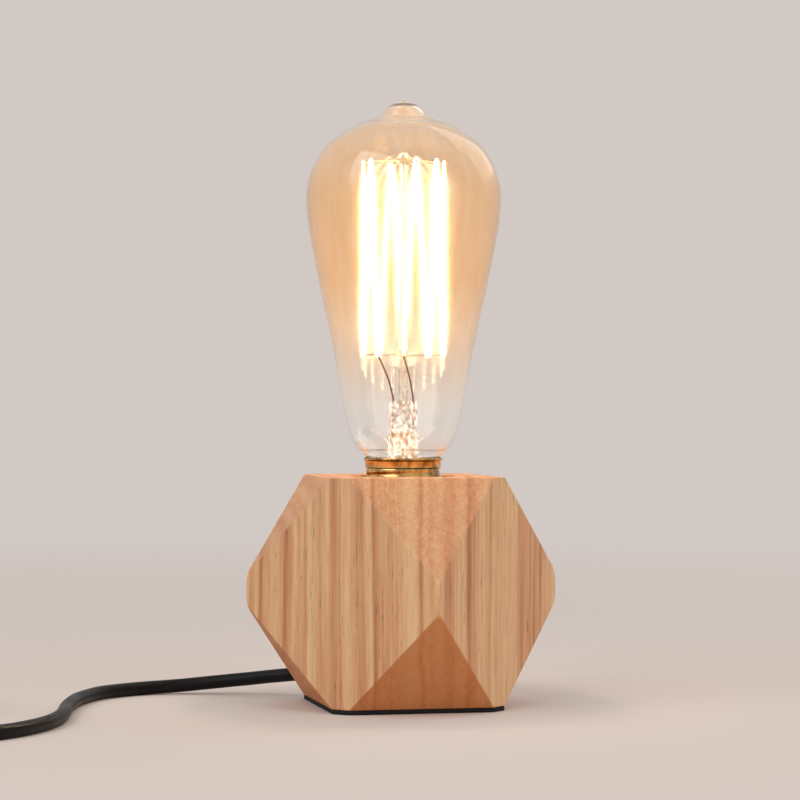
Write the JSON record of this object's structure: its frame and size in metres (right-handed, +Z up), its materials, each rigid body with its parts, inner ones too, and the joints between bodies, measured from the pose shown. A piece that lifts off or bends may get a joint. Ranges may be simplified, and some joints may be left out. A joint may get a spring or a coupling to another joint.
{
  "type": "bare bulb table lamp",
  "caption": "Table lamp: a wooden block with its corners cut off, a sunk screw lampholder, a bare filament bulb, a corded rocker switch and a two-pin plug.",
  "frame": {"origin": "middle of the pad's underside, on the table", "axes": "+Z up through the bulb; the four side faces look along X and Y, and the cord leaves through the side at -X"},
  "size_m": [0.2411, 0.2195, 0.2017],
  "materials": {
    "oiled_wood": "matt, straight grained",
    "pad_rubber": "matt",
    "black_phenolic": "semi-gloss moulded",
    "steatite": "unglazed",
    "thread_brass": "pressed sheet, satin",
    "contact_brass": "bright",
    "zinc_steel": "zinc plated",
    "black_plastic": "fine moulded texture",
    "cord_black": "smooth, matt",
    "core_brown": "smooth",
    "core_blue": "smooth",
    "white_nylon": "smooth",
    "spring_steel": "bright drawn wire",
    "sleeve_black": "smooth",
    "pin_nickel": "nickel plated",
    "amber_glass": "clear, faintly amber",
    "stem_glass": "clear",
    "black_glass": "opaque black glass",
    "solder": "dull",
    "cement": "porous",
    "hook_wire": "drawn wire",
    "filament_wire": "glowing coiled wire",
    "lead_nickel": "drawn wire",
    "lead_copper": "copper, bare"
  },
  "bodies": {
    "base": {"wood_block": "oiled_wood", "base_pad": "pad_rubber", "holder_cup": "black_phenolic", "holder_insert": "steatite", "holder_sleeve": "black_phenolic", "screw_shell": "thread_brass", "shell_strap": "contact_brass", "centre_contact": "contact_brass", "terminals": "contact_brass", "terminal_screws": "zinc_steel", "nipple": "zinc_steel", "nipple_washer": "zinc_steel", "nipple_nut": "zinc_steel", "cord_bush": "black_plastic", "clamp_lower": "black_plastic", "clamp_upper": "black_plastic", "clamp_screws": "zinc_steel", "cord_tail": "cord_black", "live_core": "core_brown", "neutral_core": "core_blue", "cord_lead": "cord_black", "cord_link": "cord_black", "cord_coil": "cord_black", "cord_end": "cord_black", "switch_lower": "black_plastic", "switch_upper": "black_plastic", "switch_contacts": "contact_brass", "switch_terminals": "contact_brass", "switch_screws": "zinc_steel", "switch_wires": "core_brown", "plug_body": "black_plastic", "plug_relief": "black_plastic", "plug_pins": "pin_nickel", "pin_sleeves": "sleeve_black"},
    "bulb_carrier": {"cap_contact": "solder"},
    "bulb": {"bulb_glass": "amber_glass", "bulb_cap": "thread_brass", "cap_insulator": "black_glass", "basing_cement": "cement", "bulb_stem": "stem_glass", "exhaust_tube": "stem_glass", "centre_rod": "stem_glass", "upper_supports": "hook_wire", "lower_supports": "hook_wire", "filament": "filament_wire", "lead_wires": "lead_nickel", "cap_wires": "lead_copper"},
    "rocker": {"switch_rocker": "black_plastic", "rocker_plunger": "white_nylon", "plunger_spring": "spring_steel"},
    "seesaw": {"switch_seesaw": "contact_brass"}
  },
  "joints": [
    {"name": "bulb_lift", "type": "slide", "parent": "base", "child": "bulb_carrier", "axis": [0, 0, 1], "range_m": [0, 0.0128]},
    {"name": "bulb_unscrew", "type": "hinge", "parent": "bulb_carrier", "child": "bulb", "pos_m": [0, 0, 0.0645], "axis": [0, 0, 1], "range_deg": [0, 1260]},
    {"name": "rocker_tilt", "type": "hinge", "parent": "base", "child": "rocker", "pos_m": [-0.112, -0.17, 0.0132], "axis": [0, 1, 0], "range_deg": [0, 18]},
    {"name": "seesaw_tilt", "type": "hinge", "parent": "base", "child": "seesaw", "pos_m": [-0.112, -0.17, 0.005], "axis": [0, 1, 0], "range_deg": [-12, 0]}
  ],
  "couplings": [
    {"joint": "bulb_lift", "follows": "bulb_unscrew", "m_per_rad": 0.00057757},
    {"joint": "seesaw_tilt", "follows": "rocker_tilt", "ratio": -0.6666}
  ]
}
